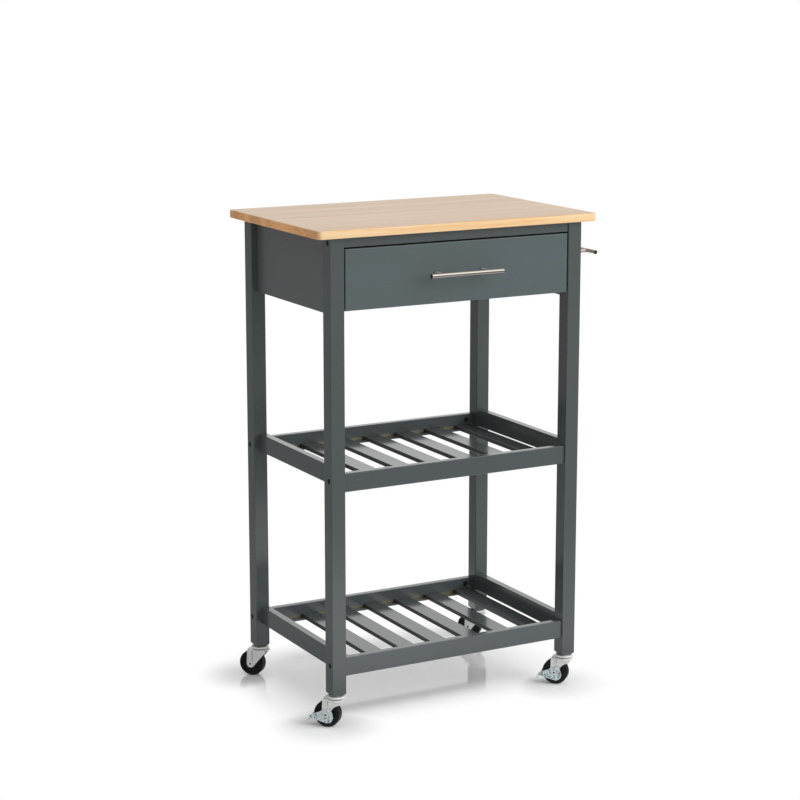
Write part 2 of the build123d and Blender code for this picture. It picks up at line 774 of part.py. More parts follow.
def build_nodes():
    nodes = {"worktop": [make_worktop()]}
    for corner, (sx, sy) in CORNERS.items():
        nodes["leg_" + corner] = [make_leg(sx, sy)]
    nodes["side_panel_left"] = [make_side_panel(-1)]
    nodes["side_panel_right"] = [make_side_panel(1)]
    nodes["back_panel"] = [make_back_panel()]
    nodes["drawer_top_rail"] = [make_top_rail()]
    for shelf, rail_top in (("mid_shelf", mid_rail_top), ("low_shelf", low_rail_top)):
        nodes[shelf + "_front_rail"] = [make_cross_rail(rail_top, -1)]
        nodes[shelf + "_back_rail"] = [make_cross_rail(rail_top, 1)]
        nodes[shelf + "_left_rail"] = [make_side_rail(rail_top, -1)]
        nodes[shelf + "_right_rail"] = [make_side_rail(rail_top, 1)]
        nodes[shelf + "_slats"] = make_slats(rail_top)
    nodes["frame_bolts"] = make_frame_bolts()
    nodes["barrel_nuts"] = make_barrel_nuts()
    nodes["frame_dowels"] = make_frame_dowels()
    nodes["worktop_brackets"] = make_brackets()
    nodes["panel_screws"] = make_panel_screws()
    nodes["towel_bar"] = [make_towel_bar()]
    nodes["towel_posts"] = make_towel_posts()
    nodes["towel_screws"] = make_towel_screws()
    nodes["drawer_runner_left"] = [make_runner(-1)]
    nodes["drawer_runner_right"] = [make_runner(1)]
    nodes["drawer_front"] = [make_drawer_front()]
    nodes["drawer_side_left"] = [make_drawer_side(-1)]
    nodes["drawer_side_right"] = [make_drawer_side(1)]
    nodes["drawer_back"] = [make_drawer_back()]
    nodes["drawer_bottom"] = [make_drawer_bottom()]
    nodes["drawer_dowels"] = make_drawer_dowels()
    nodes["drawer_stops"] = make_drawer_stops()
    nodes["drawer_screws"] = make_drawer_screws()
    nodes["handle_bar"] = [make_handle_bar()]
    nodes["handle_posts"] = make_handle_posts()
    nodes["caster_inserts"] = []
    nodes["caster_stems"] = []
    for corner, (sx, sy) in CORNERS.items():
        place = at_corner(sx, sy)
        braked = sy < 0
        nodes["caster_inserts"].append(place * make_insert())
        nodes["caster_stems"].append(place * make_stem())
        nodes["caster_fork_" + corner] = [place * make_fork(braked)]
        nodes["caster_axle_" + corner] = [place * make_axle()]
        nodes["caster_wheel_" + corner] = [place * make_wheel()]
        if braked:
            nodes["brake_lever_" + corner] = [place * make_brake_lever()]
            nodes["brake_rivets_" + corner] = [place * rivet for rivet in make_brake_rivets()]
    return nodes


def main():
    nodes = build_nodes()
    whole = Compound([solid for solids in nodes.values() for solid in solids]).bounding_box()
    to_base = Pos(-whole.center().X, -whole.center().Y, -whole.min.Z)
    print("moved by", [round(v, 4) for v in to_base.position])
    print("size", [round(v, 3) for v in whole.size])
    os.makedirs("parts", exist_ok=True)
    for name, solids in nodes.items():
        placed = [to_base * solid for solid in solids]
        export_step(placed[0] if len(placed) == 1 else Compound(placed), "parts/" + name + ".step")


main()
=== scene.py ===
import json
import math

import bmesh
import bpy
from bpy.props import FloatProperty, FloatVectorProperty, PointerProperty
from mathutils import Matrix, Vector


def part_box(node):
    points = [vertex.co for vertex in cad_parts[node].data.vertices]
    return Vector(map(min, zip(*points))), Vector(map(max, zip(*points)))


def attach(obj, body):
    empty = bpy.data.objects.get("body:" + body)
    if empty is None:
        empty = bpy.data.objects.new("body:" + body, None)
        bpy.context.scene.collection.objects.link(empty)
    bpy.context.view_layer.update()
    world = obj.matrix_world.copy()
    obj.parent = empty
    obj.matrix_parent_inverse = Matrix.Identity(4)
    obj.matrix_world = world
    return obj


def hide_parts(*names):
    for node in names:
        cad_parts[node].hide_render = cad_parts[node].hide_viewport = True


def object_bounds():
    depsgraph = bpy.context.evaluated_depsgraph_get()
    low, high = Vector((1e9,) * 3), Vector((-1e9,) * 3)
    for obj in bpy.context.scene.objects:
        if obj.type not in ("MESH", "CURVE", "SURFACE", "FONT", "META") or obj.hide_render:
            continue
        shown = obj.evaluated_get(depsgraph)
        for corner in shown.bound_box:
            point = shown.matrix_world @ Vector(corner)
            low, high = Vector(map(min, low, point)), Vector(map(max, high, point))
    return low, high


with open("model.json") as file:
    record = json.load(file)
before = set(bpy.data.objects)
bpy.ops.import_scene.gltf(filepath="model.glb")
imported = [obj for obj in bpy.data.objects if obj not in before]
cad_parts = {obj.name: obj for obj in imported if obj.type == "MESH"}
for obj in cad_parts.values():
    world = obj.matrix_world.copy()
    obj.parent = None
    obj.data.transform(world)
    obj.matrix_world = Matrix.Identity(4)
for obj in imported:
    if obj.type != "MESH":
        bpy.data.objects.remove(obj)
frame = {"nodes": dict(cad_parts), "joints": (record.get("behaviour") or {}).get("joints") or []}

bl_info = {
    "name": "Kitchen Island Cart",
    "version": (1, 0, 0),
    "blender": (4, 5, 0),
    "location": "3D View > Sidebar > Cart",
    "description": "Finishes, stage and camera of a rolling kitchen island cart",
    "category": "Object",
}

CAD_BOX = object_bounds()
NODES = frame["nodes"]
JOINTS = {joint["name"]: joint for joint in frame["joints"]}
CORNERS = ("front_left", "front_right", "back_left", "back_right")
BRAKED_CORNERS = ("front_left", "front_right")
SHELVES = ("mid_shelf", "low_shelf")
LENGTHWISE, DEPTHWISE, UPRIGHT = 0, 1, 2
UPWARD = Vector((0.0, 0.0, 1.0))

# Sockets of the colour Mix node, which has one set for each kind of data
MIX_FACTOR, MIX_FIRST, MIX_SECOND, MIX_RESULT = 0, 6, 7, 2


# Shader wiring

class Wire:
    """Output socket of a material, whose arithmetic adds Math nodes."""

    def __init__(self, finish, socket):
        self.finish = finish
        self.socket = socket

    def math(self, operation, *others):
        values = dict(enumerate((self, *others)))
        return self.finish.node("ShaderNodeMath", {"operation": operation}, values)

    def swapped(self, operation, other):
        return self.finish.node("ShaderNodeMath", {"operation": operation}, {0: other, 1: self})

    def __add__(self, other):
        return self.math("ADD", other)

    def __sub__(self, other):
        return self.math("SUBTRACT", other)

    def __mul__(self, other):
        return self.math("MULTIPLY", other)

    def __truediv__(self, other):
        return self.math("DIVIDE", other)

    def __rsub__(self, other):
        return self.swapped("SUBTRACT", other)

    def __neg__(self):
        return self.swapped("SUBTRACT", 0.0)

    def __rtruediv__(self, other):
        return self.swapped("DIVIDE", other)

    __radd__ = __add__
    __rmul__ = __mul__


class Finish:
    """Nodes of a material or of the world, wired by short calls."""

    def __init__(self, holder):
        self.holder = holder
        holder.use_nodes = True
        self.tree = holder.node_tree
        self.tree.nodes.clear()

    def node(self, kind, settings, values, output=0):
        """Adds a node, sets it up, fills its sockets and gives one of its outputs, if it has any."""
        made = self.tree.nodes.new(kind)
        for key, setting in settings.items():
            setattr(made, key, setting)
        for key, value in values.items():
            if isinstance(value, Wire):
                self.tree.links.new(value.socket, made.inputs[key])
            else:
                made.inputs[key].default_value = value
        return Wire(self, made.outputs[output]) if made.outputs else None

    def place(self):
        return self.node("ShaderNodeTexCoord", {}, {}, "Object")

    def axes(self):
        split = self.node("ShaderNodeSeparateXYZ", {}, {"Vector": self.place()}).socket.node
        return [Wire(self, output) for output in split.outputs]

    def noise(self, stretch, detail, roughness):
        """Noise whose grain has a size of one over the stretch along each axis."""
        scaled = self.node("ShaderNodeMapping", {}, {"Vector": self.place(), "Scale": stretch})
        values = {"Vector": scaled, "Scale": 1.0, "Detail": detail, "Roughness": roughness}
        return self.node("ShaderNodeTexNoise", {}, values, "Fac")

    def grain(self, axis, along, across, detail, roughness):
        """Noise with one stretch along an axis and another across it."""
        stretch = [across, across, across]
        stretch[axis] = along
        return self.noise(stretch, detail, roughness)

    def cells(self, scale):
        """A random value between 0 and 1 for each cell of a crystal pattern."""
        values = {"Vector": self.place(), "Scale": scale}
        colour = self.node("ShaderNodeTexVoronoi", {}, values, "Color")
        return self.node("ShaderNodeSeparateColor", {}, {"Color": colour}, "Red")

    def chance(self, number):
        """A random value between 0 and 1 for each whole number."""
        return self.node("ShaderNodeTexWhiteNoise", {"noise_dimensions": "1D"}, {"W": number}, "Value")

    def ramp(self, value, low, high):
        """0 below low and 1 above high, smooth between them."""
        settings = {"interpolation_type": "SMOOTHSTEP"}
        values = {"Value": value, "From Min": low, "From Max": high}
        return self.node("ShaderNodeMapRange", settings, values)

    def blend(self, factor, first, second):
        values = {MIX_FACTOR: factor, MIX_FIRST: first, MIX_SECOND: second}
        return self.node("ShaderNodeMix", {"data_type": "RGBA"}, values, MIX_RESULT)

    def bump(self, height, depth, strength):
        values = {"Height": height, "Distance": depth, "Strength": strength}
        return self.node("ShaderNodeBump", {}, values, "Normal")

    def surface(self, **values):
        """Feeds the surface shader, with each socket's name in lower case and underscores."""
        named = {}
        for key, value in values.items():
            named[key.replace("_", " ").title().replace("Ior", "IOR")] = value
        shader = self.node("ShaderNodeBsdfPrincipled", {}, named)
        self.node("ShaderNodeOutputMaterial", {}, {"Surface": shader})
        return self.holder


def new_finish(name):
    return Finish(bpy.data.materials.new(name))


def colour_of(value):
    """Four numbers of a colour setting, for a shader socket."""
    return (*value, 1.0)


def shade_of(value, factor):
    """Colour setting made lighter or darker by a factor."""
    return (*[channel * factor for channel in value], 1.0)


def wear(node_name, material):
    """Puts a material on a CAD node."""
    piece = NODES[node_name]
    if not piece.material_slots:
        piece.data.materials.append(material)
    for slot in piece.material_slots:
        slot.material = material


def new_object(name, shape):
    """Object with the mesh of a finished bmesh."""
    mesh = bpy.data.meshes.new(name)
    shape.to_mesh(mesh)
    shape.free()
    made = bpy.data.objects.new(name, mesh)
    bpy.context.scene.collection.objects.link(made)
    return made


def middle_and_half(node_name):
    """Middle of a node's box, and half its size."""
    low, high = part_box(node_name)
    return (low + high) / 2, (high - low) / 2


def edge_mask(finish, node_name, width):
    """1 along the edges of a board, where two of its faces are near."""
    middle, half = middle_and_half(node_name)
    depths = []
    for axis, value in enumerate(finish.axes()):
        depths.append(half[axis] - (value - middle[axis]).math("ABSOLUTE"))
    deepest = depths[0].math("MAXIMUM", depths[1]).math("MAXIMUM", depths[2])
    two_faces = depths[0] + depths[1] + depths[2] - deepest
    return 1.0 - finish.ramp(two_faces, 0.0, width)


# Settings

class CartWood(bpy.types.PropertyGroup):
    """Wood of the worktop and of the drawer's inside."""

    light: FloatVectorProperty(
        name="Light Wood", description="Palest tone of the worktop", subtype="COLOR",
        size=3, min=0.0, max=1.0, default=(0.89, 0.665, 0.395))
    dark: FloatVectorProperty(
        name="Dark Wood", description="Deepest tone of the worktop's grain", subtype="COLOR",
        size=3, min=0.0, max=1.0, default=(0.68, 0.42, 0.185))
    end: FloatVectorProperty(
        name="End Grain", description="Tone of the worktop's two end faces", subtype="COLOR",
        size=3, min=0.0, max=1.0, default=(0.93, 0.47, 0.18))
    strip: FloatProperty(
        name="Strip Width", description="Width of the strips that the worktop is glued from",
        unit="LENGTH", min=0.005, max=0.2, default=0.0235)
    inside: FloatVectorProperty(
        name="Inside Wood", description="Plain wood of the drawer box, runners and dowels", subtype="COLOR",
        size=3, min=0.0, max=1.0, default=(0.66, 0.475, 0.285))
    board: FloatVectorProperty(
        name="Raw Board", description="Pressed board of the drawer bottom", subtype="COLOR",
        size=3, min=0.0, max=1.0, default=(0.40, 0.285, 0.185))
    groove: FloatVectorProperty(
        name="Groove", description="Thinly painted board inside the shelf rails' grooves", subtype="COLOR",
        size=3, min=0.0, max=1.0, default=(0.21, 0.19, 0.135))


class CartPaint(bpy.types.PropertyGroup):
    """Slate grey paint of the frame, shelves and drawer front."""

    slate: FloatVectorProperty(
        name="Slate", description="Paint of the frame and shelves", subtype="COLOR",
        size=3, min=0.0, max=1.0, default=(0.069, 0.081, 0.082))
    board: FloatVectorProperty(
        name="Board Slate", description="Bluish paint of the drawer front", subtype="COLOR",
        size=3, min=0.0, max=1.0, default=(0.081, 0.104, 0.108))
    panel: FloatVectorProperty(
        name="Panel Slate", description="Paint of the side and back panels", subtype="COLOR",
        size=3, min=0.0, max=1.0, default=(0.097, 0.110, 0.109))
    gloss_roughness: FloatProperty(
        name="Roughness", description="Roughness of the frame's satin paint", subtype="FACTOR",
        min=0.0, max=1.0, default=0.13)
    board_roughness: FloatProperty(
        name="Board Roughness", description="Roughness of the drawer front's and panels' paint",
        subtype="FACTOR", min=0.0, max=1.0, default=0.28)
    # The lighter edges that this width sets are partly rubbed paint and partly painted highlight
    edge_width: FloatProperty(
        name="Edge Width", description="Width along the edges where the paint is thin",
        unit="LENGTH", min=0.0001, max=0.02, default=0.0016)


class CartMetal(bpy.types.PropertyGroup):
    """Metals of the handle, towel rail, casters and fasteners."""

    steel: FloatVectorProperty(
        name="Steel", description="Brushed steel of the handle and the towel rail", subtype="COLOR",
        size=3, min=0.0, max=1.0, default=(0.72, 0.665, 0.61))
    zinc: FloatVectorProperty(
        name="Zinc", description="Zinc plating of the casters and fasteners", subtype="COLOR",
        size=3, min=0.0, max=1.0, default=(0.90, 0.92, 0.90))
    passivated: FloatVectorProperty(
        name="Blue Zinc", description="Bluish zinc plating of the brake levers", subtype="COLOR",
        size=3, min=0.0, max=1.0, default=(0.72, 0.83, 0.85))
    stain: FloatVectorProperty(
        name="Blue Stain", description="Dark bluish stains in the brake levers' plating", subtype="COLOR",
        size=3, min=0.0, max=1.0, default=(0.055, 0.125, 0.15))
    black: FloatVectorProperty(
        name="Black Plating", description="Black plating of the frame bolts and their nuts",
        subtype="COLOR", size=3, min=0.0, max=1.0, default=(0.010, 0.010, 0.011))
    tyre: FloatVectorProperty(
        name="Tyre", description="Black of the caster wheels", subtype="COLOR",
        size=3, min=0.0, max=1.0, default=(0.004, 0.004, 0.0043))


class CartStage(bpy.types.PropertyGroup):
    """Floor, light and camera."""

    floor: FloatVectorProperty(
        name="Floor", description="Colour of the floor", subtype="COLOR",
        size=3, min=0.0, max=1.0, default=(0.93, 0.93, 0.93))
    sky: FloatProperty(
        name="Sky", description="Strength of the even light from all round",
        min=0.0, max=4.0, default=0.52)
    softbox: FloatProperty(
        name="Softbox", description="Power of the light in front", unit="POWER",
        min=0.0, max=2000.0, default=150.0)
    dim: FloatProperty(
        name="Dim Side", description="Strength of the studio's dim sides, as mirrors show them",
        min=0.0, max=1.0, default=0.22)
    azimuth: FloatProperty(
        name="Azimuth", description="Direction of the camera round the cart", subtype="ANGLE",
        default=math.radians(-28.5733))
    tilt: FloatProperty(
        name="Tilt", description="How far the camera looks down", subtype="ANGLE",
        default=math.radians(11.7661))
    distance: FloatProperty(
        name="Distance", description="From the camera to the point that it looks at", unit="LENGTH",
        min=0.1, default=4.09092)
    aim: FloatVectorProperty(
        name="Aim", description="Point that the camera looks at", subtype="XYZ", unit="LENGTH",
        size=3, default=(-0.02536, 0.02931, 0.55601))
    lens: FloatProperty(
        name="Focal Length", description="Focal length of the camera", unit="CAMERA",
        min=10.0, default=96.21)


# Wood. A noise is named by its stretch, detail and roughness, and a ramp by its two ends.

STREAK = (2.2, 60.0, 60.0), 5.0, 0.6
GRAIN = (3.0, 300.0, 300.0), 4.0, 0.55
FIBRE = (14.0, 900.0, 900.0), 4.0, 0.6
VEIN = (5.0, 170.0, 230.0), 3.0, 0.55
PORES = (700.0, 700.0, 700.0), 3.0, 0.6
RINGS = (60.0, 160.0, 420.0), 4.0, 0.55
STRIP_SHARE, STREAK_SHARE, GRAIN_SHARE = 0.25, 0.45, 0.5
FIGURE_RAMP = 0.34, 0.88
FIBRE_RAMP, FIBRE_DEPTH, FIBRE_SHADE = (0.52, 0.75), 0.22, 0.8
VEIN_RAMP, VEIN_DEPTH, VEIN_SHADE = (0.5, 0.62), 0.7, 0.85
SEAM_RAMP, SEAM_DEPTH, SEAM_SHADE = (0.00015, 0.0006), 0.28, 0.62
# Painted shade on the worktop's top face
TOP_PAINTED_SHADE_RAMP, TOP_PAINTED_SHADE_DEPTH, TOP_PAINTED_SHADE_TONE = (-0.0006, -0.0001), 0.5, 0.85
RING_SHARE, RING_STRIP_SHARE = 0.8, 0.2
RING_RAMP, PALE_RING, DARK_RING = (0.36, 0.66), 1.1, 0.7
PORE_RAMP, PORE_DEPTH, PORE_SHADE = (0.55, 0.75), 0.3, 0.5
END_RAMP = 0.0005, 0.0016
WORKTOP_ROUGHNESS, STREAK_ROUGHNESS, END_ROUGHNESS = 0.36, 0.12, 0.15
LACQUER, LACQUER_ROUGHNESS = 0.45, 0.2
FIBRE_RELIEF, SEAM_RELIEF = 0.6, 0.8
WORKTOP_BUMP = 0.00012, 0.5


def laminated_wood():
    """Strips glued side by side, with long grain on the faces and end grain at both ends."""
    wood = bpy.context.scene.cart_wood
    finish = new_finish("worktop_wood")
    x, y, z = finish.axes()
    middle, half = middle_and_half("worktop")
    across = (y - middle.y) / wood.strip
    tone = finish.chance(across.math("FLOOR"))
    streak = finish.noise(*STREAK)
    fibre = finish.noise(*FIBRE)
    figure = tone * STRIP_SHARE + streak * STREAK_SHARE + finish.noise(*GRAIN) * GRAIN_SHARE
    face = finish.blend(finish.ramp(figure, *FIGURE_RAMP), colour_of(wood.light), colour_of(wood.dark))
    fibre_mask = finish.ramp(fibre, *FIBRE_RAMP) * FIBRE_DEPTH
    face = finish.blend(fibre_mask, face, shade_of(wood.dark, FIBRE_SHADE))
    vein = finish.ramp(finish.noise(*VEIN), *VEIN_RAMP)
    face = finish.blend(vein * VEIN_DEPTH, face, shade_of(wood.end, VEIN_SHADE))
    part = across.math("FRACT")
    seam_gap = part.math("MINIMUM", 1.0 - part) * wood.strip
    seam = 1.0 - finish.ramp(seam_gap, *SEAM_RAMP)
    face = finish.blend(seam * SEAM_DEPTH, face, shade_of(wood.dark, SEAM_SHADE))
    # Painted shade: the top face is blended darker than the edges of the same wood, for the light that
    # falls on it
    top_painted_shade = finish.ramp(z - middle.z - half.z, *TOP_PAINTED_SHADE_RAMP)
    face = finish.blend(top_painted_shade * TOP_PAINTED_SHADE_DEPTH, face, shade_of(wood.dark, TOP_PAINTED_SHADE_TONE))

    pores = finish.noise(*PORES)
    growth = finish.ramp(finish.noise(*RINGS) * RING_SHARE + tone * RING_STRIP_SHARE, *RING_RAMP)
    cut = finish.blend(growth, shade_of(wood.end, PALE_RING), shade_of(wood.end, DARK_RING))
    pore_mask = finish.ramp(pores, *PORE_RAMP) * PORE_DEPTH
    cut = finish.blend(pore_mask, cut, shade_of(wood.end, PORE_SHADE))
    to_end = half.x - (x - middle.x).math("ABSOLUTE")
    at_end = 1.0 - finish.ramp(to_end, *END_RAMP)

    rough = WORKTOP_ROUGHNESS + streak * STREAK_ROUGHNESS + at_end * END_ROUGHNESS
    height = fibre * FIBRE_RELIEF - seam * SEAM_RELIEF + pores * at_end
    return finish.surface(
        base_color=finish.blend(at_end, face, cut), roughness=rough, coat_weight=LACQUER,
        coat_roughness=LACQUER_ROUGHNESS, normal=finish.bump(height, *WORKTOP_BUMP))


# Plain wood's noises have one stretch along the grain and one across it
PLAIN_FIGURE = 2.5, 45.0, 4.0, 0.55
PLAIN_FIBRE = 14.0, 650.0, 3.0, 0.6
PLAIN_FIGURE_RAMP, PLAIN_FIGURE_SHADE = (0.35, 0.7), 0.76
PLAIN_FIBRE_RAMP, PLAIN_FIBRE_DEPTH, PLAIN_FIBRE_SHADE = (0.5, 0.75), 0.3, 0.55
PLAIN_ROUGHNESS, PLAIN_FIBRE_ROUGHNESS = 0.55, 0.2
PLAIN_BUMP = 0.0001, 0.5


def plain_wood(grain_axis):
    """Sanded solid wood with its grain along one axis."""
    wood = bpy.context.scene.cart_wood
    finish = new_finish("plain_wood_" + "xyz"[grain_axis])
    figure = finish.ramp(finish.grain(grain_axis, *PLAIN_FIGURE), *PLAIN_FIGURE_RAMP)
    fibre = finish.grain(grain_axis, *PLAIN_FIBRE)
    colour = finish.blend(figure, colour_of(wood.inside), shade_of(wood.inside, PLAIN_FIGURE_SHADE))
    fibre_mask = finish.ramp(fibre, *PLAIN_FIBRE_RAMP) * PLAIN_FIBRE_DEPTH
    colour = finish.blend(fibre_mask, colour, shade_of(wood.inside, PLAIN_FIBRE_SHADE))
    return finish.surface(
        base_color=colour, roughness=PLAIN_ROUGHNESS + fibre * PLAIN_FIBRE_ROUGHNESS,
        normal=finish.bump(fibre, *PLAIN_BUMP))


BOARD_SPECKLE = (420.0, 420.0, 420.0), 4.0, 0.65
BOARD_CLOUD = (9.0, 9.0, 9.0), 2.0, 0.5
BOARD_FLECK_RAMP, PALE_FLECK, DARK_FLECK = (0.35, 0.7), 1.15, 0.82
BOARD_CLOUD_RAMP, BOARD_CLOUD_DEPTH, BOARD_CLOUD_SHADE = (0.3, 0.75), 0.3, 1.3
BOARD_ROUGHNESS, SPECKLE_ROUGHNESS = 0.5, 0.25
BOARD_BUMP = 0.00008, 0.4


def pressed_board():
    """Smooth pressed board with short random fibres."""
    wood = bpy.context.scene.cart_wood
    finish = new_finish("pressed_board")
    speckle = finish.noise(*BOARD_SPECKLE)
    fleck = finish.ramp(speckle, *BOARD_FLECK_RAMP)
    colour = finish.blend(fleck, shade_of(wood.board, PALE_FLECK), shade_of(wood.board, DARK_FLECK))
    cloud = finish.ramp(finish.noise(*BOARD_CLOUD), *BOARD_CLOUD_RAMP) * BOARD_CLOUD_DEPTH
    colour = finish.blend(cloud, colour, shade_of(wood.board, BOARD_CLOUD_SHADE))
    return finish.surface(
        base_color=colour, roughness=BOARD_ROUGHNESS + speckle * SPECKLE_ROUGHNESS,
        normal=finish.bump(speckle, *BOARD_BUMP))


# Paint

SLAT_COUNT = 7
SLAT_WIDTH = 0.0345
SLAT_TOP_RAMP, SLAT_SIDE_RAMP = (0.0004, 0.0010), (0.0002, 0.0006)
# Painted shade that darkens the slats' upright sides
SLAT_SIDE_PAINTED_SHADE, SLAT_SIDE_ROUGHNESS = 0.35, 0.35
GROOVE_LIP_RAMP, GROOVE_FLOOR_RAMP = (0.0002, 0.0005), (0.0003, 0.0006)
GROOVE_MOUTH_RAMP = 0.0002, 0.0008
GROOVE_ROUGHNESS = 0.4
PAINT_CLOUD = (5.0, 5.0, 5.0), 3.0, 0.5
PAINT_SKIN = (520.0, 520.0, 520.0), 2.0, 0.5
PAINT_PATCHES = (38.0, 38.0, 38.0), 4.0, 0.6
DEEP_CLOUD, PALE_CLOUD = 0.93, 1.08
PATCH_RAMP = 0.42, 0.68
# Lighter edges: partly rubbed paint, partly painted highlight
RUB_AND_HIGHLIGHT_LEAST, RUB_AND_HIGHLIGHT_PATCHES, RUB_AND_HIGHLIGHT_TONE = 0.25, 0.3, 1.75
PAINT_CLOUD_ROUGHNESS, PAINT_SKIN_ROUGHNESS = 0.06, 0.05
PAINT_IOR = 1.6
PAINT_COAT, COAT_SMOOTHING = 0.4, 0.8
PAINT_BUMP = 0.00004, 0.25


def groove_mask(finish, rail, slats):
    """1 inside the groove of a shelf rail, where the paint is thin."""
    rail_low, rail_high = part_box(rail)
    slat_low, slat_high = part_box(slats)
    y, z = finish.axes()[1:]
    in_front = rail_low.y < slat_low.y
    inner_face = rail_high.y if in_front else rail_low.y
    slat_end = slat_low.y if in_front else slat_high.y
    into_rail = inner_face - y if in_front else y - inner_face
    groove_middle = (slat_low.z + slat_high.z) / 2
    groove_half = (slat_high.z - slat_low.z) / 2
    beyond_lips = (z - groove_middle).math("ABSOLUTE") - groove_half
    past_floor = into_rail - abs(slat_end - inner_face)
    between_lips = 1.0 - finish.ramp(beyond_lips, *GROOVE_LIP_RAMP)
    above_floor = 1.0 - finish.ramp(past_floor, *GROOVE_FLOOR_RAMP)
    return finish.ramp(into_rail, *GROOVE_MOUTH_RAMP) * between_lips * above_floor


def slat_sides(finish, slats):
    """1 on the narrow upright sides of a shelf's slats."""
    low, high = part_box(slats)
    pitch = (high.x - low.x - SLAT_WIDTH) / (SLAT_COUNT - 1)
    x, _, z = finish.axes()
    across = ((x - low.x) / pitch).math("FRACT") * pitch
    to_side = SLAT_WIDTH / 2 - (across - SLAT_WIDTH / 2).math("ABSOLUTE")
    below_top = finish.ramp(high.z - z, *SLAT_TOP_RAMP)
    return (1.0 - finish.ramp(to_side, *SLAT_SIDE_RAMP)) * below_top


def slate_paint(node_name, slate, roughness, slats=None):
    """Satin paint with a fine rolled skin, and lighter edges that are partly rubbed paint and partly
    painted highlight.

    Given a shelf's slats, the slats get painted shade on their dull sides and a rail a thinly painted
    groove.
    """
    settings = bpy.context.scene
    finish = new_finish("slate_paint_" + node_name)
    cloud = finish.noise(*PAINT_CLOUD)
    skin = finish.noise(*PAINT_SKIN)
    colour = finish.blend(cloud, shade_of(slate, DEEP_CLOUD), shade_of(slate, PALE_CLOUD))
    patchy = finish.ramp(finish.noise(*PAINT_PATCHES), *PATCH_RAMP)
    # Rubbed paint and painted highlight: the edges are blended lighter, for thin paint and for the light
    # they catch
    edges = edge_mask(finish, node_name, settings.cart_paint.edge_width)
    colour = finish.blend(edges * (RUB_AND_HIGHLIGHT_LEAST + patchy * RUB_AND_HIGHLIGHT_PATCHES), colour, shade_of(slate, RUB_AND_HIGHLIGHT_TONE))
    rough = roughness + cloud * PAINT_CLOUD_ROUGHNESS + skin * PAINT_SKIN_ROUGHNESS
    if node_name == slats:
        # Painted shade: the slats' upright sides are darkened, where little light reaches them
        sides = slat_sides(finish, slats)
        colour = finish.blend(sides, colour, shade_of(slate, SLAT_SIDE_PAINTED_SHADE))
        rough = rough + sides * SLAT_SIDE_ROUGHNESS
    elif slats:
        groove = groove_mask(finish, node_name, slats)
        colour = finish.blend(groove, colour, colour_of(settings.cart_wood.groove))
        rough = rough + groove * GROOVE_ROUGHNESS
    return finish.surface(
        base_color=colour, roughness=rough, ior=PAINT_IOR, coat_weight=PAINT_COAT,
        coat_roughness=roughness * COAT_SMOOTHING, normal=finish.bump(skin, *PAINT_BUMP))


# Brushed steel. Its lines have one stretch along the brushing and one across it.

BAR_ROUGHNESS = 0.06
POST_ROUGHNESS = 0.34
POST_METALLIC = 0.5
BRUSH_LINES = 26.0, 2600.0, 3.0, 0.6
BRUSH_SMEAR = (30.0, 30.0, 30.0), 2.0, 0.5
DARK_LINE, PALE_LINE = 0.82, 1.12
LINE_ROUGHNESS, SMEAR_ROUGHNESS = 0.08, 0.04
CUT_RAMP, CUT_SHADE, CUT_ROUGHNESS = (0.0002, 0.0005), 0.03, 0.4
STEEL_BUMP = 0.00002, 0.3


def brushed_steel(node_name, brushing_axis, roughness, metallic=1.0):
    """Steel with fine brush lines along one axis and dull, dark cut ends."""
    metal = bpy.context.scene.cart_metal
    finish = new_finish("brushed_steel_" + node_name)
    lines = finish.grain(brushing_axis, *BRUSH_LINES)
    colour = finish.blend(lines, shade_of(metal.steel, DARK_LINE), shade_of(metal.steel, PALE_LINE))
    rough = roughness + lines * LINE_ROUGHNESS + finish.noise(*BRUSH_SMEAR) * SMEAR_ROUGHNESS
    middle, half = middle_and_half(node_name)
    along = finish.axes()[brushing_axis]
    to_end = half[brushing_axis] - (along - middle[brushing_axis]).math("ABSOLUTE")
    cut = 1.0 - finish.ramp(to_end, *CUT_RAMP)
    colour = finish.blend(cut, colour, shade_of(metal.steel, CUT_SHADE))
    return finish.surface(
        base_color=colour, metallic=(1.0 - cut) * metallic, roughness=rough + cut * CUT_ROUGHNESS,
        normal=finish.bump(lines, *STEEL_BUMP))


# Casters and plating. Ribs and hollow are placed from the swivel axis on the floor, with X to the axle.

RACE_HEIGHT = 0.0022
AXLE_BORE_RADIUS = 0.0019
FORK_HALF_WIDTH = 0.0122
RIB_WIDTH = 0.0022
RIB_RISE = 0.0008
RIB_ROUND = 0.0007
RIB_AHEAD = 0.0140
RIB_TOP = 0.0515
RIB_FOOT = 0.0315
BRAKED_RIB_FOOT = 0.0420
RIB_SEGMENTS = 4
BITE_CENTRE = Vector((-0.0155, 0.0, 0.0230))
BITE_RADIUS = 0.0232
BITE_DEPTH = 0.06
BITE_SEGMENTS = 128
MERGE_DISTANCE = 1e-6


def around_axle(finish, corner):
    """Distance from the axle of a wheel."""
    spin = JOINTS["wheel_spin_" + corner]
    values = {0: finish.place(), 1: tuple(spin["pos_m"])}
    arm = finish.node("ShaderNodeVectorMath", {"operation": "SUBTRACT"}, values)
    values = {0: arm, 1: tuple(spin["axis"])}
    along = finish.node("ShaderNodeVectorMath", {"operation": "DOT_PRODUCT"}, values, "Value")
    reach = finish.node("ShaderNodeVectorMath", {"operation": "LENGTH"}, {0: arm}, "Value")
    return (reach * reach - along * along).math("MAXIMUM", 0.0).math("SQRT")


def fork_place(corner):
    """Swivel axis of a caster on the floor, and the level direction from it to the axle."""
    swivel = Vector(JOINTS["swivel_" + corner]["pos_m"])
    trail = Vector(JOINTS["wheel_spin_" + corner]["pos_m"]) - swivel
    swivel.z = trail.z = 0.0
    return swivel, trail.normalized()


